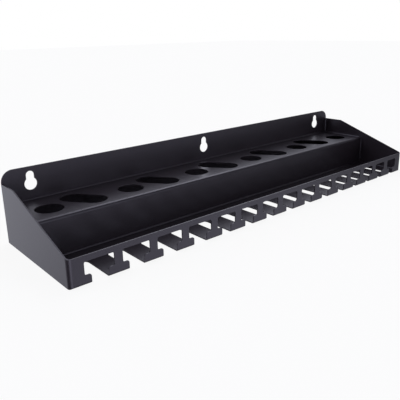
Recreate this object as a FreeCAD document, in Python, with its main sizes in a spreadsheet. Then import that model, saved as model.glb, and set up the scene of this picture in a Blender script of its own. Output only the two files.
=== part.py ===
import FreeCAD, Part
import math
import os
from types import SimpleNamespace

import Sketcher

# Plier rack: a folded and welded sheet-steel rack for a wall or a bench.
# A full-height back panel and two sloping side panels carry a shelf of tool holes and,
# in front of it, a lower tray whose front wall is cut into a row of T-shaped hooks.
# X runs along the rack, -Y is the front, +Z is up. The origin is at the middle of the
# rack's length and depth, on the plane that it stands on. Lengths are in millimetres.

DRIVING_SIZES = {
    # overall
    "rack_length": 500.0,
    "rack_depth": 127.9,
    "sheet_thickness": 1.2,
    # back panel
    "back_height": 71.3,
    "back_corner_radius": 11.7,
    "keyhole_drop": 17.2,
    "keyhole_end_distance": 28.0,
    "keyhole_entry_diameter": 12.6,
    "keyhole_neck_width": 8.0,
    "keyhole_rise": 8.7,
    "keyhole_count": 3,
    # side panels
    "side_height": 59.1,
    "side_level_length": 27.2,
    "corner_flange": 8.0,
    "corner_fold_radius": 4.0,
    # tool shelf
    "shelf_height": 38.4,
    "shelf_depth": 63.8,
    "shelf_fold_radius": 3.0,
    "hole_diameter": 27.0,
    "hole_count": 6,
    "hole_end_distance": 28.0,
    "hole_setback": 37.7,
    "oblong_width": 25.0,
    "oblong_travel": 23.7,
    "oblong_angle": 53.5,
    "oblong_setback": 42.3,
    # plier tray
    "front_height": 25.6,
    "tray_fold_radius": 2.0,
    "top_band": 5.3,
    "row_end_distance": 14.0,
    "wide_hook_count": 4,
    "medium_hook_count": 7,
    "narrow_hook_count": 4,
    "hook_width_step": 3.7,
    "stem_width": 8.0,
    "foot_lobe": 6.0,
    "foot_height": 8.4,
    "opening_corner_radius": 1.8,
    "foot_corner_radius": 2.0,
    "slot_reach": 41.7,
    # welds
    "weld_leg": 1.2,
}


class Size:
    """A size with its number and the spreadsheet expression that gives it."""

    def __init__(self, number, text):
        self.number = number
        self.text = text

    def __add__(self, other):
        other = as_size(other)
        return Size(self.number + other.number, f"({self.text} + {other.text})")

    def __sub__(self, other):
        other = as_size(other)
        return Size(self.number - other.number, f"({self.text} - {other.text})")

    def __mul__(self, other):
        other = as_size(other)
        return Size(self.number * other.number, f"({self.text} * {other.text})")

    def __truediv__(self, other):
        other = as_size(other)
        return Size(self.number / other.number, f"({self.text} / {other.text})")

    def __neg__(self):
        return Size(-self.number, f"(-{self.text})")


def as_size(amount):
    if isinstance(amount, Size):
        return amount
    return Size(amount, str(amount))


def fill_sheet(document):
    """Put the driving sizes in a spreadsheet and hand them back by name."""
    sheet = document.addObject("Spreadsheet::Sheet", "sizes")
    sizes = {}
    for row, (name, number) in enumerate(DRIVING_SIZES.items(), start=1):
        sheet.set(f"A{row}", name.replace("_", " "))
        sheet.set(f"B{row}", str(number))
        sheet.setAlias(f"B{row}", name)
        sizes[name] = Size(number, f"sizes.{name}")
    document.recompute()
    return SimpleNamespace(**sizes)


doc = FreeCAD.newDocument("plier_rack")
size = fill_sheet(doc)

ZERO = as_size(0.0)
OVERCUT = 5.0

# Places that more than one piece shares
half_length = size.rack_length / 2
back_face = size.rack_depth / 2
front_face = -size.rack_depth / 2
panel_face = back_face - size.sheet_thickness
riser_face = panel_face - size.shelf_depth
inner_length = size.rack_length - size.sheet_thickness * 2
inner_corner_radius = size.corner_fold_radius - size.sheet_thickness


def bind(item, path, amount):
    item.setExpression(path, as_size(amount).text)


def new_body(name, x=ZERO, y=ZERO, z=ZERO):
    """Start a sub-part whose own origin lies at x, y, z in the rack."""
    body = doc.addObject("PartDesign::Body", name)
    body.Label = name
    bind(body, "Placement.Base.x", x)
    bind(body, "Placement.Base.y", y)
    bind(body, "Placement.Base.z", z)
    return body


def new_sketch(body, name, plane):
    sketch = body.newObject("Sketcher::SketchObject", name)
    support = [item for item in body.Origin.OriginFeatures if item.Role == plane]
    sketch.AttachmentSupport = [(support[0], "")]
    sketch.MapMode = "FlatFace"
    return sketch


def fix_point(sketch, curve, point, across=None, up=None):
    """Hold a point of a curve at its distance across and up from the sketch's origin."""
    for kind, amount in (("DistanceX", across), ("DistanceY", up)):
        if amount is not None:
            constraint = Sketcher.Constraint(kind, -1, 1, curve, point, amount.number)
            bind(sketch, f"Constraints[{sketch.addConstraint(constraint)}]", amount)


def fix_radius(sketch, curve, radius):
    constraint = Sketcher.Constraint("Radius", curve, radius.number)
    bind(sketch, f"Constraints[{sketch.addConstraint(constraint)}]", radius)


def draw_outline(sketch, corners):
    """Draw a closed outline of level and upright edges.

    Each corner is (across, up, radius). Where the radius is None, the corner stays sharp.
    """
    places = [FreeCAD.Vector(across.number, up.number, 0) for across, up, radius in corners]
    count = len(corners)
    lines = []
    for index in range(count):
        start = places[index]
        end = places[(index + 1) % count]
        direction = (end - start).normalize()
        start_radius = corners[index][2]
        end_radius = corners[(index + 1) % count][2]
        if start_radius:
            start = start + direction * start_radius.number
        if end_radius:
            end = end - direction * end_radius.number
        line = sketch.addGeometry(Part.LineSegment(start, end), False)
        lines.append(line)
        if abs(direction.x) > abs(direction.y):
            sketch.addConstraint(Sketcher.Constraint("Horizontal", line))
            fix_point(sketch, line, 1, up=corners[index][1])
        else:
            sketch.addConstraint(Sketcher.Constraint("Vertical", line))
            fix_point(sketch, line, 1, across=corners[index][0])
    for index in range(count):
        before = lines[index - 1]
        after = lines[index]
        radius = corners[index][2]
        if radius is None:
            sketch.addConstraint(Sketcher.Constraint("Coincident", before, 2, after, 1))
        else:
            round_corner(sketch, before, after, places[index], radius)


def add_arc(sketch, centre, start, end):
    """Add the arc that runs anticlockwise about its centre from start to end."""
    spoke = start - centre
    circle = Part.Circle(centre, FreeCAD.Vector(0, 0, 1), spoke.Length)
    first = math.atan2(spoke.y, spoke.x)
    last = math.atan2(end.y - centre.y, end.x - centre.x)
    if last <= first:
        last = last + 2 * math.pi
    return sketch.addGeometry(Part.ArcOfCircle(circle, first, last), False)


def join_smoothly(sketch, before, before_end, after, after_end):
    sketch.addConstraint(Sketcher.Constraint("Tangent", before, before_end, after, after_end))


def round_corner(sketch, before, after, corner, radius):
    """Join two edges that stop short of their corner with an arc that runs on from both."""
    start = sketch.Geometry[before].EndPoint
    end = sketch.Geometry[after].StartPoint
    centre = start + end - corner
    turns_left = (corner - start).cross(end - corner).z > 0
    if turns_left:
        arc = add_arc(sketch, centre, start, end)
        join_smoothly(sketch, before, 2, arc, 1)
        join_smoothly(sketch, arc, 2, after, 1)
    else:
        arc = add_arc(sketch, centre, end, start)
        join_smoothly(sketch, before, 2, arc, 2)
        join_smoothly(sketch, arc, 1, after, 1)
    fix_radius(sketch, arc, radius)


def draw_circle(sketch, across, up, radius):
    centre = FreeCAD.Vector(across.number, up.number, 0)
    circle = Part.Circle(centre, FreeCAD.Vector(0, 0, 1), radius.number)
    curve = sketch.addGeometry(circle, False)
    fix_point(sketch, curve, 3, across, up)
    fix_radius(sketch, curve, radius)


def draw_polygon(sketch, corners):
    """Draw a closed outline of straight edges, each corner held at its own place."""
    places = [FreeCAD.Vector(across.number, up.number, 0) for across, up in corners]
    for index, place in enumerate(places):
        following = places[(index + 1) % len(places)]
        sketch.addGeometry(Part.LineSegment(place, following), False)
    for index, (across, up) in enumerate(corners):
        fix_point(sketch, index, 1, across, up)
        after = (index + 1) % len(corners)
        sketch.addConstraint(Sketcher.Constraint("Coincident", index, 2, after, 1))


def extrude(body, kind, sketch, length, reversed_way=False, both_ways=False):
    """Pad or pocket a sketch by a length, one way or half of it to each side."""
    feature = body.newObject(f"PartDesign::{kind}", f"{sketch.Name}_{kind.lower()}")
    feature.Profile = sketch
    feature.Reversed = reversed_way
    if both_ways:
        feature.SideType = "Symmetric"
    bind(feature, "Length", length)
    volume = body.Shape.Volume if kind == "Pocket" else 0.0
    doc.recompute()
    if kind == "Pocket" and body.Shape.Volume >= volume:
        raise ValueError(f"{feature.Name} cuts nothing")
    return feature


def repeat(body, features, pitch, count):
    """Repeat features along the rack."""
    pattern = body.newObject("PartDesign::LinearPattern", f"{features[0].Name}_row")
    pattern.Originals = features
    along = [item for item in body.Origin.OriginFeatures if item.Role == "X_Axis"]
    pattern.Direction = (along[0], [""])
    pattern.Mode = "Spacing"
    bind(pattern, "Offset", pitch)
    bind(pattern, "Occurrences", count)
    body.Tip = pattern
    doc.recompute()
    return pattern


def edges_through(shape, along, point):
    """Name the straight edges that run along a direction and pass through a point."""
    names = []
    for index, edge in enumerate(shape.Edges, start=1):
        if edge.Curve.TypeId != "Part::GeomLine":
            continue
        start = edge.Vertexes[0].Point
        if edge.tangentAt(edge.FirstParameter).cross(along).Length > 1e-6:
            continue
        if (point - start).cross(along).Length < 1e-4:
            names.append(f"Edge{index}")
    return names


def fold(body, name, along, point, radius):
    """Round the edges along a fold of the sheet."""
    base = body.Tip
    feature = body.newObject("PartDesign::Fillet", name)
    feature.Base = (base, edges_through(base.Shape, along, point))
    bind(feature, "Radius", radius)
    doc.recompute()
    return feature


ALONG_X = FreeCAD.Vector(1, 0, 0)
ALONG_Z = FreeCAD.Vector(0, 0, 1)


def make_back_panel():
    """Flat panel on the wall, its top corners rounded, with keyholes along its top."""
    body = new_body("back_panel", y=panel_face)
    outline = new_sketch(body, "back_outline", "XZ_Plane")
    corner = size.back_corner_radius
    draw_outline(outline, [
        (-half_length, ZERO, None),
        (half_length, ZERO, None),
        (half_length, size.back_height, corner),
        (-half_length, size.back_height, corner),
    ])
    extrude(body, "Pad", outline, size.sheet_thickness, reversed_way=True)
    first_keyhole = size.keyhole_end_distance - half_length
    keyhole_height = size.back_height - size.keyhole_drop
    entry = new_sketch(body, "keyhole_entry", "XZ_Plane")
    draw_circle(entry, first_keyhole, keyhole_height, size.keyhole_entry_diameter / 2)
    entry_cut = extrude(body, "Pocket", entry, size.sheet_thickness)
    neck = new_sketch(body, "keyhole_neck", "XZ_Plane")
    half_neck = size.keyhole_neck_width / 2
    draw_neck(neck, first_keyhole, keyhole_height, keyhole_height + size.keyhole_rise, half_neck)
    neck_cut = extrude(body, "Pocket", neck, size.sheet_thickness)
    pitch = -first_keyhole * 2 / (size.keyhole_count - 1)
    repeat(body, [entry_cut, neck_cut], pitch, size.keyhole_count)
    return body


def draw_neck(sketch, middle, bottom, top_centre, radius):
    """Draw a slot that starts square and ends in a half circle about its top centre."""
    centre = FreeCAD.Vector(middle.number, top_centre.number, 0)
    reach = FreeCAD.Vector(radius.number, 0, 0)
    drop = FreeCAD.Vector(0, top_centre.number - bottom.number, 0)
    floor = sketch.addGeometry(Part.LineSegment(centre - reach - drop, centre + reach - drop), False)
    right = sketch.addGeometry(Part.LineSegment(centre + reach - drop, centre + reach), False)
    arch = add_arc(sketch, centre, centre + reach, centre - reach)
    left = sketch.addGeometry(Part.LineSegment(centre - reach, centre - reach - drop), False)
    sketch.addConstraint(Sketcher.Constraint("Horizontal", floor))
    sketch.addConstraint(Sketcher.Constraint("Vertical", right))
    sketch.addConstraint(Sketcher.Constraint("Coincident", floor, 2, right, 1))
    sketch.addConstraint(Sketcher.Constraint("Coincident", left, 2, floor, 1))
    join_smoothly(sketch, right, 2, arch, 1)
    join_smoothly(sketch, arch, 2, left, 1)
    fix_point(sketch, floor, 1, up=bottom)
    fix_point(sketch, arch, 3, middle, top_centre)
    fix_radius(sketch, arch, radius)


def make_side_panel(name, inward):
    """Sloping end panel, folded round the front corner into a narrow flange."""
    body = new_body(name, x=half_length * -inward)
    thickness = size.sheet_thickness
    plan = new_sketch(body, f"{name}_plan", "XY_Plane")
    inner = thickness * inward
    flange = size.corner_flange * inward
    draw_outline(plan, [
        (ZERO, panel_face, None),
        (ZERO, front_face, None),
        (flange, front_face, None),
        (flange, front_face + thickness, None),
        (inner, front_face + thickness, None),
        (inner, panel_face, None),
    ])
    extrude(body, "Pad", plan, size.side_height)
    outer_corner = FreeCAD.Vector(0, front_face.number, 0)
    fold(body, f"{name}_outer_fold", ALONG_Z, outer_corner, size.corner_fold_radius)
    inner_corner = FreeCAD.Vector(inner.number, (front_face + thickness).number, 0)
    fold(body, f"{name}_inner_fold", ALONG_Z, inner_corner, inner_corner_radius)
    slope = new_sketch(body, f"{name}_slope", "YZ_Plane")
    level_end = panel_face - size.side_level_length
    draw_polygon(slope, [
        (front_face - OVERCUT, size.front_height),
        (front_face + thickness, size.front_height),
        (level_end, size.side_height),
        (level_end, size.side_height + OVERCUT),
        (front_face - OVERCUT, size.side_height + OVERCUT),
    ])
    width = size.corner_flange * 4
    extrude(body, "Pocket", slope, width, both_ways=True)
    toe = new_sketch(body, f"{name}_toe", "YZ_Plane")
    draw_toe(toe)
    extrude(body, "Pocket", toe, width, both_ways=True)
    return body


def draw_toe(sketch):
    """Draw what the fold under the front wall leaves free of the square bottom corner."""
    radius = size.tray_fold_radius
    corner = FreeCAD.Vector(front_face.number, 0, 0)
    behind = corner + FreeCAD.Vector(radius.number, 0, 0)
    above = corner + FreeCAD.Vector(0, radius.number, 0)
    front = sketch.addGeometry(Part.LineSegment(above, corner), False)
    bottom = sketch.addGeometry(Part.LineSegment(corner, behind), False)
    fold_line = add_arc(sketch, behind + above - corner, above, behind)
    sketch.addConstraint(Sketcher.Constraint("Vertical", front))
    sketch.addConstraint(Sketcher.Constraint("Horizontal", bottom))
    sketch.addConstraint(Sketcher.Constraint("Coincident", front, 2, bottom, 1))
    join_smoothly(sketch, front, 1, fold_line, 1)
    join_smoothly(sketch, fold_line, 2, bottom, 2)
    fix_point(sketch, front, 2, front_face, ZERO)
    fix_radius(sketch, fold_line, radius)


def make_tool_shelf():
    """Shelf with a row of round holes and slanted oblong ones, folded down into a riser."""
    body = new_body("tool_shelf", y=panel_face)
    thickness = size.sheet_thickness
    top = size.shelf_height
    front = -size.shelf_depth
    section = new_sketch(body, "shelf_section", "YZ_Plane")
    draw_outline(section, [
        (ZERO, top, None),
        (front, top, None),
        (front, thickness, None),
        (front + thickness, thickness, None),
        (front + thickness, top - thickness, None),
        (ZERO, top - thickness, None),
    ])
    extrude(body, "Pad", section, inner_length, both_ways=True)
    edge = FreeCAD.Vector(0, front.number, top.number)
    fold(body, "shelf_outer_fold", ALONG_X, edge, size.shelf_fold_radius)
    inner_edge = edge + FreeCAD.Vector(0, thickness.number, -thickness.number)
    fold(body, "shelf_inner_fold", ALONG_X, inner_edge, size.shelf_fold_radius - thickness)
    first_hole = size.hole_end_distance - half_length
    pitch = -first_hole * 2 / (size.hole_count - 1)
    hole = new_sketch(body, "round_hole", "XY_Plane")
    draw_circle(hole, first_hole, -size.hole_setback, size.hole_diameter / 2)
    hole_cut = extrude(body, "Pocket", hole, top, reversed_way=True)
    repeat(body, [hole_cut], pitch, size.hole_count)
    oblong = new_sketch(body, "oblong_hole", "XY_Plane")
    draw_oblong(oblong, first_hole + pitch / 2, -size.oblong_setback)
    oblong_cut = extrude(body, "Pocket", oblong, top, reversed_way=True)
    repeat(body, [oblong_cut], pitch, size.hole_count - 1)
    return body


def draw_oblong(sketch, across, up):
    """Draw a slanted oblong hole that runs back and to the left from its front centre."""
    slant = math.radians(180.0 - size.oblong_angle.number)
    radius = size.oblong_width / 2
    along = FreeCAD.Vector(math.cos(slant), math.sin(slant), 0)
    side = FreeCAD.Vector(-along.y, along.x, 0) * radius.number
    front = FreeCAD.Vector(across.number, up.number, 0)
    rear = front + along * size.oblong_travel.number
    right_edge = sketch.addGeometry(Part.LineSegment(front - side, rear - side), False)
    rear_end = add_arc(sketch, rear, rear - side, rear + side)
    left_edge = sketch.addGeometry(Part.LineSegment(rear + side, front + side), False)
    front_end = add_arc(sketch, front, front + side, front - side)
    spine = sketch.addGeometry(Part.LineSegment(front, rear), True)
    outline = (right_edge, rear_end, left_edge, front_end)
    for before, after in zip(outline, outline[1:] + outline[:1]):
        join_smoothly(sketch, before, 2, after, 1)
    sketch.addConstraint(Sketcher.Constraint("Coincident", spine, 1, front_end, 3))
    sketch.addConstraint(Sketcher.Constraint("Coincident", spine, 2, rear_end, 3))
    fix_point(sketch, spine, 1, across, up)
    fix_radius(sketch, rear_end, radius)
    travel = Sketcher.Constraint("Distance", spine, size.oblong_travel.number)
    bind(sketch, f"Constraints[{sketch.addConstraint(travel)}]", size.oblong_travel)
    angle = sketch.addConstraint(Sketcher.Constraint("Angle", spine, slant))
    sketch.setExpression(f"Constraints[{angle}]", "(180 - sizes.oblong_angle) * 1 deg")


def make_plier_tray():
    """Tray floor folded up into the front wall, with a row of T-shaped hooks."""
    body = new_body("plier_tray", y=front_face)
    thickness = size.sheet_thickness
    depth = riser_face - front_face + thickness
    section = new_sketch(body, "tray_section", "YZ_Plane")
    draw_outline(section, [
        (ZERO, ZERO, None),
        (depth, ZERO, None),
        (depth, thickness, None),
        (thickness, thickness, None),
        (thickness, size.front_height, None),
        (ZERO, size.front_height, None),
    ])
    extrude(body, "Pad", section, inner_length, both_ways=True)
    fold(body, "tray_outer_fold", ALONG_X, FreeCAD.Vector(0, 0, 0), size.tray_fold_radius)
    inner_edge = FreeCAD.Vector(0, thickness.number, thickness.number)
    fold(body, "tray_inner_fold", ALONG_X, inner_edge, size.tray_fold_radius - thickness)
    for name, side in (("left_notch", -1), ("right_notch", 1)):
        cut_corner_notch(body, name, side)
    hook_count = size.wide_hook_count + size.medium_hook_count + size.narrow_hook_count
    stems = size.stem_width * (hook_count - 1)
    surplus = size.hook_width_step * (size.wide_hook_count - size.narrow_hook_count)
    row_length = size.rack_length - size.row_end_distance * 2
    medium_width = (row_length - stems - surplus) / hook_count
    groups = (
        ("wide", size.wide_hook_count, medium_width + size.hook_width_step),
        ("medium", size.medium_hook_count, medium_width),
        ("narrow", size.narrow_hook_count, medium_width - size.hook_width_step),
    )
    left = -row_length / 2
    for name, count, width in groups:
        cut_hook_openings(body, name, left, width, count)
        left = left + count * (width + size.stem_width)
    return body


def cut_corner_notch(body, name, side):
    """Cut the tray's front corner back so that the side panel's fold and flange fill it."""
    notch = new_sketch(body, name, "XY_Plane")
    flange_end = (half_length - size.corner_flange) * side
    side_face = (half_length - size.sheet_thickness) * side
    outside = (half_length + OVERCUT) * side
    behind = size.corner_fold_radius + OVERCUT
    draw_outline(notch, [
        (flange_end, as_size(-OVERCUT), None),
        (flange_end, size.sheet_thickness, None),
        (side_face, size.sheet_thickness, inner_corner_radius),
        (side_face, behind, None),
        (outside, behind, None),
        (outside, as_size(-OVERCUT), None),
    ])
    extrude(body, "Pocket", notch, size.front_height, reversed_way=True)


def cut_hook_openings(body, name, left, width, count):
    """Cut one group of T-shaped openings, each running on into a slot in the floor."""
    right = left + width
    neck_left = left + size.foot_lobe
    neck_right = right - size.foot_lobe
    below = as_size(-OVERCUT)
    opening_top = size.front_height - size.top_band
    inner = size.opening_corner_radius
    outer = size.foot_corner_radius
    opening = new_sketch(body, f"{name}_opening", "XZ_Plane")
    draw_outline(opening, [
        (neck_left, below, None),
        (neck_right, below, None),
        (neck_right, size.foot_height, outer),
        (right, size.foot_height, inner),
        (right, opening_top, inner),
        (left, opening_top, inner),
        (left, size.foot_height, inner),
        (neck_left, size.foot_height, outer),
    ])
    opening_cut = extrude(body, "Pocket", opening, size.tray_fold_radius)
    slot = new_sketch(body, f"{name}_slot", "XY_Plane")
    radius = (width - size.foot_lobe * 2) / 2
    draw_neck(slot, left + width / 2, size.sheet_thickness, size.slot_reach - radius, radius)
    slot_cut = extrude(body, "Pocket", slot, size.foot_height, reversed_way=True)
    repeat(body, [opening_cut, slot_cut], width + size.stem_width, count)


def weld_bead(name, length, x, y, z, rotation):
    """Fillet bead: its corner runs along its own Z, its legs along its own X and Y."""
    bead = doc.addObject("Part::Wedge", name)
    leg = size.weld_leg
    for side in ("Xmin", "Ymin", "Zmin", "X2min", "Z2min", "X2max"):
        setattr(bead, side, 0.0)
    bind(bead, "Xmax", leg)
    bind(bead, "Ymax", leg)
    bind(bead, "Zmax", length)
    bind(bead, "Z2max", length)
    bead.Placement.Rotation = rotation
    bind(bead, "Placement.Base.x", x)
    bind(bead, "Placement.Base.y", y)
    bind(bead, "Placement.Base.z", z)
    return bead


def turned(x_axis, y_axis):
    """Rotation that lays a bead's legs along the two given directions."""
    x_way = FreeCAD.Vector(*x_axis)
    y_way = FreeCAD.Vector(*y_axis)
    return FreeCAD.Rotation(x_way, y_way, x_way.cross(y_way), "XYZ")


def make_long_weld(name, y, z):
    """Bead along the rack, in the corner between a level sheet and an upright one."""
    return weld_bead(name, inner_length, -inner_length / 2, y, z, turned((0, 0, 1), (0, -1, 0)))


def make_end_welds(name, inward):
    """Beads round the inside of one side panel, where the other sheets meet it."""
    leg = size.weld_leg
    x = inner_length / 2 * -inward
    floor_top = size.sheet_thickness
    inside = (inward, 0, 0)
    forward = (0, -1, 0)
    up = (0, 0, 1)
    shelf_fold_end = size.shelf_height - size.shelf_fold_radius
    upright = turned(inside, forward) if inward < 0 else turned(forward, inside)
    level = turned(up, inside) if inward < 0 else turned(inside, up)
    back_bead = weld_bead(
        f"{name}_back", size.side_height - size.shelf_height - leg,
        x, panel_face, size.shelf_height + leg, upright)
    riser_bead = weld_bead(
        f"{name}_riser", shelf_fold_end - floor_top - leg,
        x, riser_face, floor_top + leg, upright)
    shelf_bead = weld_bead(
        f"{name}_shelf", size.shelf_depth - leg - size.shelf_fold_radius,
        x, panel_face - leg, size.shelf_height, level)
    floor_bead = weld_bead(
        f"{name}_floor", riser_face - front_face - leg - size.corner_fold_radius,
        x, riser_face - leg, floor_top, level)
    group = doc.addObject("Part::Compound", name)
    group.Links = [back_bead, riser_bead, shelf_bead, floor_bead]
    return group


def check(pieces):
    """Stop if anything in the document failed or a sub-part's shape isn't sound."""
    for item in doc.Objects:
        if "Invalid" in item.State or "Error" in item.State:
            raise ValueError(f"{item.Name} failed")
    for piece in pieces:
        if piece.Shape.isNull() or not piece.Shape.isValid():
            raise ValueError(f"{piece.Label} is not a sound solid")


def main():
    pieces = [
        make_back_panel(),
        make_side_panel("left_side_panel", 1),
        make_side_panel("right_side_panel", -1),
        make_tool_shelf(),
        make_plier_tray(),
        make_long_weld("shelf_weld", panel_face, size.shelf_height),
        make_long_weld("tray_weld", riser_face, size.sheet_thickness),
        make_end_welds("left_end_welds", 1),
        make_end_welds("right_end_welds", -1),
    ]
    doc.recompute()
    check(pieces)
    os.makedirs("parts", exist_ok=True)
    for piece in pieces:
        piece.Shape.exportStep(f"parts/{piece.Label}.step")
        box = piece.Shape.BoundBox
        print(piece.Label, len(piece.Shape.Solids), "solids", round(piece.Shape.Volume, 1), "mm3",
              [round(side, 2) for side in (box.XMin, box.YMin, box.ZMin, box.XMax, box.YMax, box.ZMax)])


main()
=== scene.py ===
import math

import bmesh
import bpy
from mathutils import Matrix, Vector


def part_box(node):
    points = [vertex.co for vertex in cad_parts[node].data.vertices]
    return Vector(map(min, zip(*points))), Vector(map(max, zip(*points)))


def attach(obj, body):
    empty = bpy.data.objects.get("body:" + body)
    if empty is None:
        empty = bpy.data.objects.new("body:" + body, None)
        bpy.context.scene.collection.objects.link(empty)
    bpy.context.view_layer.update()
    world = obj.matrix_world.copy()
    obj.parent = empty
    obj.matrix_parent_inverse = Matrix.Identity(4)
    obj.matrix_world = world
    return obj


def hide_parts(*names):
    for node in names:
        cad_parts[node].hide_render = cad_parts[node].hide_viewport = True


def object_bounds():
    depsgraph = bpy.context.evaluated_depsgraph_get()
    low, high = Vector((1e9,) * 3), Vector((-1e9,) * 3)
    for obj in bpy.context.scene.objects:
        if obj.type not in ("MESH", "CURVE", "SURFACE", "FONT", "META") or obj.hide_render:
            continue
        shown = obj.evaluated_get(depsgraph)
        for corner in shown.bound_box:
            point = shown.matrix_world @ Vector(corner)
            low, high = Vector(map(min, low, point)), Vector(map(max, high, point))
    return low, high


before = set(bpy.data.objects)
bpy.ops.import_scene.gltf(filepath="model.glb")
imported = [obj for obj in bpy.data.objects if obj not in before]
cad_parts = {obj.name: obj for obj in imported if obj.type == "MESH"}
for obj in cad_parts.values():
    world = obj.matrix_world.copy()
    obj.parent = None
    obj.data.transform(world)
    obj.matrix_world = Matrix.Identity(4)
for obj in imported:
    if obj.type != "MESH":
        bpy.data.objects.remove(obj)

cad_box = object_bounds()

# Plier rack: black powder-coated sheet steel on a pale studio floor. Lengths are in metres.

MM = 0.001
BODY = "root"

# Places read from the frame
rack_low, rack_high = cad_box
panel_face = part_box("back_panel")[0].y
shelf_bead_low, shelf_bead_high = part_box("shelf_weld")
# where the side panels' front flanges meet the front wall
front_seam = abs(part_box("left_side_panel")[1].x)


# Camera: worked out from the photograph's edges and vanishing points

IMAGE_SIDE = 400.0
FOCAL_PIXELS = 504.24
CENTRE_PIXEL = (201.28, 177.11)
CAMERA_YAW = math.radians(-40.316)
CAMERA_PITCH = math.radians(16.315)
CAMERA_ROLL = math.radians(-1.162)
CAMERA_FROM_PANEL = Vector((-399.06, -463.90, 194.13)) * MM
SENSOR_WIDTH = 36.0
NEAREST_SEEN = 0.01
FARTHEST_SEEN = 50.0


def make_camera():
    """Place the camera where the photograph was taken from."""
    data = bpy.data.cameras.new("photo_camera")
    camera = bpy.data.objects.new("photo_camera", data)
    bpy.context.scene.collection.objects.link(camera)
    data.sensor_width = SENSOR_WIDTH
    data.lens = FOCAL_PIXELS / IMAGE_SIDE * SENSOR_WIDTH
    data.shift_x = (IMAGE_SIDE / 2 - CENTRE_PIXEL[0]) / IMAGE_SIDE
    data.shift_y = (CENTRE_PIXEL[1] - IMAGE_SIDE / 2) / IMAGE_SIDE
    data.clip_start = NEAREST_SEEN
    data.clip_end = FARTHEST_SEEN
    back = Vector((
        math.sin(CAMERA_YAW) * math.cos(CAMERA_PITCH),
        -math.cos(CAMERA_YAW) * math.cos(CAMERA_PITCH),
        math.sin(CAMERA_PITCH),
    ))
    level = Vector((0, 0, 1)).cross(back).normalized()
    upright = back.cross(level)
    right = level * math.cos(CAMERA_ROLL) + upright * math.sin(CAMERA_ROLL)
    up = upright * math.cos(CAMERA_ROLL) - level * math.sin(CAMERA_ROLL)
    turn = Matrix((right, up, back)).transposed().to_4x4()
    place = CAMERA_FROM_PANEL + Vector((0, panel_face, 0))
    camera.matrix_world = Matrix.Translation(place) @ turn
    bpy.context.scene.camera = camera


# Materials


def to_linear(code):
    """Turn an sRGB hex code into the linear colour that a shader takes."""
    channels = [int(code[index:index + 2], 16) / 255 for index in (1, 3, 5)]
    linear = [c / 12.92 if c <= 0.04045 else ((c + 0.055) / 1.055) ** 2.4 for c in channels]
    return (*linear, 1.0)


def add_node(tree, kind, settings=None, links=None, **attributes):
    """Add a node, set its attributes and input values, and link its inputs."""
    node = tree.nodes.new(kind)
    for name, value in attributes.items():
        setattr(node, name, value)
    for name, value in (settings or {}).items():
        node.inputs[name].default_value = value
    for name, socket in (links or {}).items():
        tree.links.new(socket, node.inputs[name])
    return node


def new_material(name):
    """Make a material with nothing in it but its output."""
    material = bpy.data.materials.new(name)
    material.use_nodes = True
    tree = material.node_tree
    tree.nodes.clear()
    output = tree.nodes.new("ShaderNodeOutputMaterial")
    return material, tree, output


# Satin black polyester powder coat, sprayed on the steel as dust and baked until it flows together.
# The eye sees a deep black with a soft sheen that spreads along the folds, and close up a pebbled skin.
COAT_COLOUR = "#1e191d"
COAT_LIGHT_COLOUR = "#221d21"
# the coat's gloss is a little violet
GLOSS_TINT = "#f1edff"
COAT_IOR = 1.5
COAT_ROUGHNESS = 0.33
ROUGHNESS_SPREAD = 0.04
# orange peel: waves that the coat keeps as it flows and sets
PEEL_LENGTH = 1.8 * MM
# fine grit left by the powder: its single grains are too fine to show, so it is drawn coarser
GRIT_LENGTH = 0.35 * MM
# slow drift of the coat's thickness
DRIFT_LENGTH = 60 * MM
# a real coat's waves and grit are only thousandths of a millimetre high, too low to show in the
# render, so both are drawn as high as they need to show
PEEL_HEIGHT = 0.09 * MM
GRIT_HEIGHT = 0.03 * MM
BUMP_STRENGTH = 0.6


def make_powder_coat(name):
    """Satin black powder coat with its orange peel, grit and slow drift of tone."""
    material, tree, output = new_material(name)
    place = add_node(tree, "ShaderNodeTexCoord").outputs["Object"]
    peel = add_node(
        tree, "ShaderNodeTexNoise", {"Scale": 1 / PEEL_LENGTH, "Detail": 1.0}, {"Vector": place})
    grit = add_node(
        tree, "ShaderNodeTexNoise", {"Scale": 1 / GRIT_LENGTH, "Detail": 2.0}, {"Vector": place})
    drift = add_node(
        tree, "ShaderNodeTexNoise", {"Scale": 1 / DRIFT_LENGTH, "Detail": 2.0}, {"Vector": place})
    tone = add_node(
        tree, "ShaderNodeMix", {"A": to_linear(COAT_COLOUR), "B": to_linear(COAT_LIGHT_COLOUR)},
        {"Factor": drift.outputs["Fac"]}, data_type="RGBA")
    gloss = add_node(
        tree, "ShaderNodeMapRange",
        {"To Min": COAT_ROUGHNESS - ROUGHNESS_SPREAD, "To Max": COAT_ROUGHNESS + ROUGHNESS_SPREAD},
        {"Value": grit.outputs["Fac"]})
    waves = add_node(
        tree, "ShaderNodeBump", {"Strength": BUMP_STRENGTH, "Distance": PEEL_HEIGHT},
        {"Height": peel.outputs["Fac"]})
    surface = add_node(
        tree, "ShaderNodeBump", {"Strength": BUMP_STRENGTH, "Distance": GRIT_HEIGHT},
        {"Height": grit.outputs["Fac"], "Normal": waves.outputs["Normal"]})
    shader = add_node(
        tree, "ShaderNodeBsdfPrincipled", {"IOR": COAT_IOR, "Specular Tint": to_linear(GLOSS_TINT)},
        {"Base Color": tone.outputs["Result"], "Roughness": gloss.outputs["Result"],
         "Normal": surface.outputs["Normal"]})
    tree.links.new(shader.outputs["BSDF"], output.inputs["Surface"])
    return material


# the sweep's matt white paper
PAPER_COLOUR = "#f2f2f2"
# how much of the paper's white is plain, and not lit
FLOOR_GLOW = 0.9
WHITE = (1, 1, 1, 1)


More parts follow.
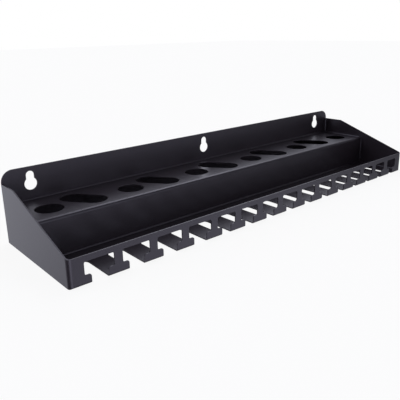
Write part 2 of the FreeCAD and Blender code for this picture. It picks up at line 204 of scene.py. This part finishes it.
def seen_straight(tree, rays):
    """Tell which rays come from the eye itself, or through something clear."""
    either = add_node(
        tree, "ShaderNodeMath", None,
        {0: rays.outputs["Is Camera Ray"], 1: rays.outputs["Is Transmission Ray"]}, operation="MAXIMUM")
    return either.outputs["Value"]


def make_floor_material():
    """White sweep: the camera sees it as almost plain white, with the rack's faint shadow on it."""
    material, tree, output = new_material("white_paper_sweep")
    paper = add_node(tree, "ShaderNodeBsdfDiffuse", {"Color": to_linear(PAPER_COLOUR)})
    glow = add_node(tree, "ShaderNodeEmission", {"Color": WHITE, "Strength": 1.0})
    rays = add_node(tree, "ShaderNodeLightPath")
    share = add_node(
        tree, "ShaderNodeMath", {1: FLOOR_GLOW}, {0: seen_straight(tree, rays)}, operation="MULTIPLY")
    seen = add_node(
        tree, "ShaderNodeMixShader", None,
        {0: share.outputs["Value"], 1: paper.outputs["BSDF"], 2: glow.outputs["Emission"]})
    # the coat's gloss looks past the paper to the room, but not where the rack stands over it
    place = add_node(tree, "ShaderNodeTexCoord").outputs["Object"]
    spot = add_node(tree, "ShaderNodeSeparateXYZ", None, {"Vector": place})
    beside = []
    for axis, half in (("X", rack_high.x), ("Y", rack_high.y)):
        from_middle = add_node(
            tree, "ShaderNodeMath", None, {0: spot.outputs[axis]}, operation="ABSOLUTE")
        past = add_node(
            tree, "ShaderNodeMath", {1: half}, {0: from_middle.outputs["Value"]},
            operation="GREATER_THAN")
        beside.append(past.outputs["Value"])
    outside = add_node(tree, "ShaderNodeMath", None, {0: beside[0], 1: beside[1]}, operation="MAXIMUM")
    see_past = add_node(
        tree, "ShaderNodeMath", None,
        {0: rays.outputs["Is Glossy Ray"], 1: outside.outputs["Value"]}, operation="MULTIPLY")
    clear = add_node(tree, "ShaderNodeBsdfTransparent")
    mixed = add_node(
        tree, "ShaderNodeMixShader", None,
        {0: see_past.outputs["Value"], 1: seen.outputs["Shader"], 2: clear.outputs["BSDF"]})
    tree.links.new(mixed.outputs["Shader"], output.inputs["Surface"])
    return material


# Pieces: each sheet is the CAD sheet with its sharp laser-cut edges softened by the coat

COAT_EDGE = 0.25 * MM
COAT_EDGE_STEPS = 2
SHARP_ANGLE = math.radians(35)
# faces that turn less than this are one flat face
FLAT_ANGLE = math.radians(0.5)
# corners nearer than this are one corner
MERGE_REACH = 0.002 * MM
# corners this near the front seam lie on it
SEAM_REACH = 0.01 * MM
# large flat faces keep their own shading, and only the coat's roundings turn
FLAT_FACE_WEIGHT = 100


def weight_cut_edges(work):
    """Mark the edges that the coat rounds: all sharp ones but the front seams.

    Those are ground flush and coated over.
    """
    weights = work.edges.layers.float.new("bevel_weight_edge")
    for edge in work.edges:
        at_seam = all(abs(abs(vert.co.x) - front_seam) < SEAM_REACH for vert in edge.verts)
        sharp = len(edge.link_faces) == 2 and edge.calc_face_angle() > SHARP_ANGLE
        edge[weights] = 1.0 if sharp and not at_seam else 0.0
        edge.smooth = not (sharp and at_seam)


def coated_copy(node, material):
    """Copy a CAD node, merge its loose triangles and round its cut edges as the coat does."""
    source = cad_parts[node]
    mesh = source.data.copy()
    mesh.name = f"{node}_coated"
    work = bmesh.new()
    work.from_mesh(mesh)
    bmesh.ops.remove_doubles(work, verts=work.verts, dist=MERGE_REACH)
    bmesh.ops.dissolve_limit(work, angle_limit=FLAT_ANGLE, verts=work.verts, edges=work.edges)
    weight_cut_edges(work)
    work.to_mesh(mesh)
    work.free()
    imported_normals = mesh.attributes.get("custom_normal")
    if imported_normals:
        mesh.attributes.remove(imported_normals)
    piece = bpy.data.objects.new(f"{node}_coated", mesh)
    bpy.context.scene.collection.objects.link(piece)
    bevel = piece.modifiers.new("coat_edge", "BEVEL")
    bevel.width = COAT_EDGE
    bevel.segments = COAT_EDGE_STEPS
    bevel.limit_method = "WEIGHT"
    shading = piece.modifiers.new("flat_faces", "WEIGHTED_NORMAL")
    shading.mode = "FACE_AREA"
    shading.weight = FLAT_FACE_WEIGHT
    shading.keep_sharp = True
    mesh.materials.clear()
    mesh.materials.append(material)
    for polygon in mesh.polygons:
        polygon.use_smooth = True
    depsgraph = bpy.context.evaluated_depsgraph_get()
    finished = bpy.data.meshes.new_from_object(piece.evaluated_get(depsgraph))
    piece.modifiers.clear()
    piece.data = finished
    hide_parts(node)
    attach(piece, BODY)
    return piece


# Weld beads: crowned fillets with the ripples that the torch leaves as it steps along

BEAD_LEG = shelf_bead_high.z - shelf_bead_low.z
BEAD_SIZES = {"Leg": BEAD_LEG, "Ripple Pitch": 1.6 * MM, "Ripple Depth": 0.09}
# how far out the crown lies, as a share of the leg: a flat face would be at 0.5
BEAD_CROWN = 0.68
# the crown among the section's corners, counted from 0, and how near a count must be to match it
CROWN_CORNER = 2.0
SAME_COUNT = 0.1
CROWN_ARC_POINTS = 3
STEPS_PER_RIPPLE = 5.0
# a hand-held torch never steps evenly: half of a ripple's depth is its step, the rest its drift
STEP_SHARE = 0.5
# how fast the torch's pace changes, in changes for each ripple
TORCH_DRIFT = 0.7
BEAD_SMOOTH_ANGLE = math.radians(35)
# how far apart the beads lie in the torch's drift, so that no two are alike
SEED_FOR_EACH_BEAD = 400.0
SEED_FOR_EACH_NODE = 2000.0


def make_bead_tree(material):
    """Sweep a crowned fillet's section along a straight seam, in steps of the torch."""
    tree = bpy.data.node_groups.new("weld_bead", "GeometryNodeTree")
    tree.is_modifier = True
    for name in ("Length", "Leg", "Ripple Pitch", "Ripple Depth", "Seed"):
        tree.interface.new_socket(name, in_out="INPUT", socket_type="NodeSocketFloat")
    tree.interface.new_socket("Geometry", in_out="OUTPUT", socket_type="NodeSocketGeometry")
    given = tree.nodes.new("NodeGroupInput").outputs
    made = tree.nodes.new("NodeGroupOutput")

    end = add_node(tree, "ShaderNodeCombineXYZ", None, {"X": given["Length"]})
    seam = add_node(tree, "GeometryNodeCurvePrimitiveLine", None, {"End": end.outputs["Vector"]})
    step = add_node(
        tree, "ShaderNodeMath", {1: STEPS_PER_RIPPLE}, {0: given["Ripple Pitch"]}, operation="DIVIDE")
    run = add_node(
        tree, "GeometryNodeResampleCurve", None,
        {"Curve": seam.outputs["Curve"], "Length": step.outputs["Value"]}, mode="LENGTH")

    crown = add_node(tree, "ShaderNodeMath", {1: BEAD_CROWN}, {0: given["Leg"]}, operation="MULTIPLY")
    near_toe = add_node(tree, "ShaderNodeCombineXYZ", None, {"X": given["Leg"]})
    face = add_node(
        tree, "ShaderNodeCombineXYZ", None, {"X": crown.outputs["Value"], "Y": crown.outputs["Value"]})
    far_toe = add_node(tree, "ShaderNodeCombineXYZ", None, {"Y": given["Leg"]})
    section = add_node(
        tree, "GeometryNodeCurvePrimitiveQuadrilateral", {"Point 1": (0, 0, 0)},
        {"Point 2": near_toe.outputs["Vector"], "Point 3": face.outputs["Vector"],
         "Point 4": far_toe.outputs["Vector"]}, mode="POINTS")
    # only the crown, the section's third corner, is rounded
    point = add_node(tree, "GeometryNodeInputIndex")
    at_crown = add_node(
        tree, "ShaderNodeMath", {1: CROWN_CORNER, 2: SAME_COUNT}, {0: point.outputs["Index"]},
        operation="COMPARE")
    rounding = add_node(
        tree, "ShaderNodeMath", None,
        {0: at_crown.outputs["Value"], 1: crown.outputs["Value"]}, operation="MULTIPLY")
    rounded = add_node(
        tree, "GeometryNodeFilletCurve", {"Count": CROWN_ARC_POINTS, "Limit Radius": True},
        {"Curve": section.outputs["Curve"], "Radius": rounding.outputs["Value"]}, mode="POLY")

    along = add_node(tree, "GeometryNodeSplineParameter")
    turns = add_node(
        tree, "ShaderNodeMath", None,
        {0: along.outputs["Length"], 1: given["Ripple Pitch"]}, operation="DIVIDE")
    angle = add_node(
        tree, "ShaderNodeMath", {1: 2 * math.pi}, {0: turns.outputs["Value"]}, operation="MULTIPLY")
    wave = add_node(tree, "ShaderNodeMath", None, {0: angle.outputs["Value"]}, operation="SINE")
    dip = add_node(
        tree, "ShaderNodeMapRange",
        {"From Min": -1.0, "From Max": 1.0, "To Min": 0.0, "To Max": STEP_SHARE},
        {"Value": wave.outputs["Value"]})
    place = add_node(
        tree, "ShaderNodeMath", None, {0: turns.outputs["Value"], 1: given["Seed"]}, operation="ADD")
    drift = add_node(
        tree, "ShaderNodeTexNoise", {"Scale": TORCH_DRIFT, "Detail": 2.0}, {"W": place.outputs["Value"]},
        noise_dimensions="1D")
    uneven = add_node(
        tree, "ShaderNodeMath", {1: 1 - STEP_SHARE},
        {0: drift.outputs["Fac"], 2: dip.outputs["Result"]}, operation="MULTIPLY_ADD")
    lost = add_node(
        tree, "ShaderNodeMath", None,
        {0: uneven.outputs["Value"], 1: given["Ripple Depth"]}, operation="MULTIPLY")
    swell = add_node(tree, "ShaderNodeMath", {0: 1.0}, {1: lost.outputs["Value"]}, operation="SUBTRACT")

    bead = add_node(
        tree, "GeometryNodeCurveToMesh", {"Fill Caps": True},
        {"Curve": run.outputs["Curve"], "Profile Curve": rounded.outputs["Curve"],
         "Scale": swell.outputs["Value"]})
    smooth = add_node(tree, "GeometryNodeSetShadeSmooth", None, {"Geometry": bead.outputs["Mesh"]})
    real = add_node(tree, "GeometryNodeRealizeInstances", None, {"Geometry": smooth.outputs["Geometry"]})
    coated = add_node(
        tree, "GeometryNodeSetMaterial", {"Material": material}, {"Geometry": real.outputs["Geometry"]})
    tree.links.new(coated.outputs["Geometry"], made.inputs["Geometry"])
    return tree


def seams_of(node):
    """Give the lowest and highest corner of each separate bead in a CAD node."""
    work = bmesh.new()
    work.from_mesh(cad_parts[node].data)
    bmesh.ops.remove_doubles(work, verts=work.verts, dist=MERGE_REACH)
    unseen = set(work.faces)
    seams = []
    while unseen:
        # beads may touch at a corner, so a bead is followed over its edges
        reached = [unseen.pop()]
        for face in reached:
            for edge in face.edges:
                neighbours = unseen.intersection(edge.link_faces)
                unseen -= neighbours
                reached.extend(neighbours)
        points = [vert.co for face in reached for vert in face.verts]
        low = Vector(min(point[axis] for point in points) for axis in range(3))
        high = Vector(max(point[axis] for point in points) for axis in range(3))
        seams.append((low, high))
    work.free()
    return sorted(seams, key=lambda seam: tuple(seam[0]))


def seam_turn(low, high):
    """Turn a bead made along +X, with its legs to -Y and -Z, into its seam between two sheets."""
    left_half = low.x + high.x < 0
    size = high - low
    lengthwise = max(range(3), key=lambda axis: size[axis])
    corner = Vector((low.x if left_half else high.x, high.y, low.z))
    legs = [Vector((1 if left_half else -1, 0, 0)), Vector((0, -1, 0)), Vector((0, 0, 1))]
    del legs[lengthwise]
    along = Vector((0, 0, 0))
    along[lengthwise] = 1
    corner[lengthwise] = low[lengthwise]
    if along.cross(-legs[0]).dot(-legs[1]) < 0:
        legs.reverse()
    turn = Matrix((along, -legs[0], -legs[1])).transposed().to_4x4()
    return Matrix.Translation(corner) @ turn, size[lengthwise]


def welded_copy(node, tree, first_seed):
    """Lay a rippled bead in each seam of a CAD weld node, and make them one piece."""
    work = bmesh.new()
    sockets = {
        item.name: item.identifier for item in tree.interface.items_tree if item.in_out == "INPUT"}
    for number, (low, high) in enumerate(seams_of(node)):
        place, length = seam_turn(low, high)
        carrier = bpy.data.objects.new("seam", bpy.data.meshes.new("seam"))
        bpy.context.scene.collection.objects.link(carrier)
        nodes = carrier.modifiers.new("weld_bead", "NODES")
        nodes.node_group = tree
        sizes = {**BEAD_SIZES, "Length": length, "Seed": first_seed + SEED_FOR_EACH_BEAD * number}
        for name, value in sizes.items():
            nodes[sockets[name]] = value
        depsgraph = bpy.context.evaluated_depsgraph_get()
        bead = bpy.data.meshes.new_from_object(carrier.evaluated_get(depsgraph))
        bpy.data.objects.remove(carrier)
        bead.transform(place)
        material = bead.materials[0]
        work.from_mesh(bead)
        bpy.data.meshes.remove(bead)
    mesh = bpy.data.meshes.new(f"{node}_beads")
    work.to_mesh(mesh)
    work.free()
    mesh.materials.append(material)
    mesh.set_sharp_from_angle(angle=BEAD_SMOOTH_ANGLE)
    piece = bpy.data.objects.new(f"{node}_beads", mesh)
    bpy.context.scene.collection.objects.link(piece)
    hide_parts(node)
    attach(piece, BODY)
    return piece


# Studio

FLOOR_HALF = 6.0
FLOOR_GAP = 0.2 * MM
# cool daylight
ROOM_COLOUR = "#f2f4ff"
ROOM_LEVEL = 0.22
# each soft panel of light: degrees round from +X, degrees up, degrees from its middle to its
# edge, and strength
SOFT_PANELS = (
    (121, 7, 52, 1.15),
    (155, 31, 45, 1.50),
    (254, -17, 36, 2.40),
    (50, 31, 25, 1.90),
    (281, 16, 39, 1.00),
    (23, 55, 21, 3.70),
    (312, -30, 27, 1.50),
    (297, 4, 15, 0.70),
)


def make_floor():
    """A wide level floor just under the rack."""
    mesh = bpy.data.meshes.new("floor")
    level = rack_low.z - FLOOR_GAP
    corners = [(x * FLOOR_HALF, y * FLOOR_HALF, level) for x, y in ((-1, -1), (1, -1), (1, 1), (-1, 1))]
    mesh.from_pydata(corners, [], [(0, 1, 2, 3)])
    floor = bpy.data.objects.new("floor", mesh)
    bpy.context.scene.collection.objects.link(floor)
    mesh.materials.append(make_floor_material())


def make_world():
    """Plain white behind the rack, and a dim cool room with soft panels that lights it."""
    world = bpy.data.worlds.new("studio")
    bpy.context.scene.world = world
    world.use_nodes = True
    tree = world.node_tree
    tree.nodes.clear()
    output = tree.nodes.new("ShaderNodeOutputWorld")
    look = add_node(tree, "ShaderNodeTexCoord").outputs["Generated"]
    level = add_node(tree, "ShaderNodeValue").outputs["Value"]
    level.default_value = ROOM_LEVEL
    for turn, height, reach, strength in SOFT_PANELS:
        turn, height, reach = math.radians(turn), math.radians(height), math.radians(reach)
        middle = (math.cos(height) * math.cos(turn), math.cos(height) * math.sin(turn), math.sin(height))
        facing = add_node(
            tree, "ShaderNodeVectorMath", {1: middle}, {0: look}, operation="DOT_PRODUCT")
        panel = add_node(
            tree, "ShaderNodeMapRange",
            {"From Min": math.cos(reach), "From Max": 1.0, "To Min": 0.0, "To Max": strength},
            {"Value": facing.outputs["Value"]}, interpolation_type="SMOOTHSTEP")
        raised = add_node(
            tree, "ShaderNodeMath", None, {0: level, 1: panel.outputs["Result"]}, operation="ADD")
        level = raised.outputs["Value"]
    rays = add_node(tree, "ShaderNodeLightPath")
    room = add_node(tree, "ShaderNodeBackground", {"Color": to_linear(ROOM_COLOUR)}, {"Strength": level})
    white = add_node(tree, "ShaderNodeBackground", {"Color": WHITE, "Strength": 1.0})
    mixed = add_node(
        tree, "ShaderNodeMixShader", None,
        {0: seen_straight(tree, rays), 1: room.outputs["Background"], 2: white.outputs["Background"]})
    tree.links.new(mixed.outputs["Shader"], output.inputs["Surface"])


def main():
    """Build the rack's coated sheets and welds, and the studio round it."""
    make_camera()
    coat = make_powder_coat("satin_black_powder_coat")
    coated_weld = make_powder_coat("powder_coated_weld")
    for node in ("back_panel", "left_side_panel", "right_side_panel", "tool_shelf", "plier_tray"):
        coated_copy(node, coat)
    bead = make_bead_tree(coated_weld)
    for number, node in enumerate(("shelf_weld", "tray_weld", "left_end_welds", "right_end_welds")):
        welded_copy(node, bead, SEED_FOR_EACH_NODE * number)
    make_world()
    make_floor()
    bpy.context.scene.view_settings.view_transform = "Standard"


main()
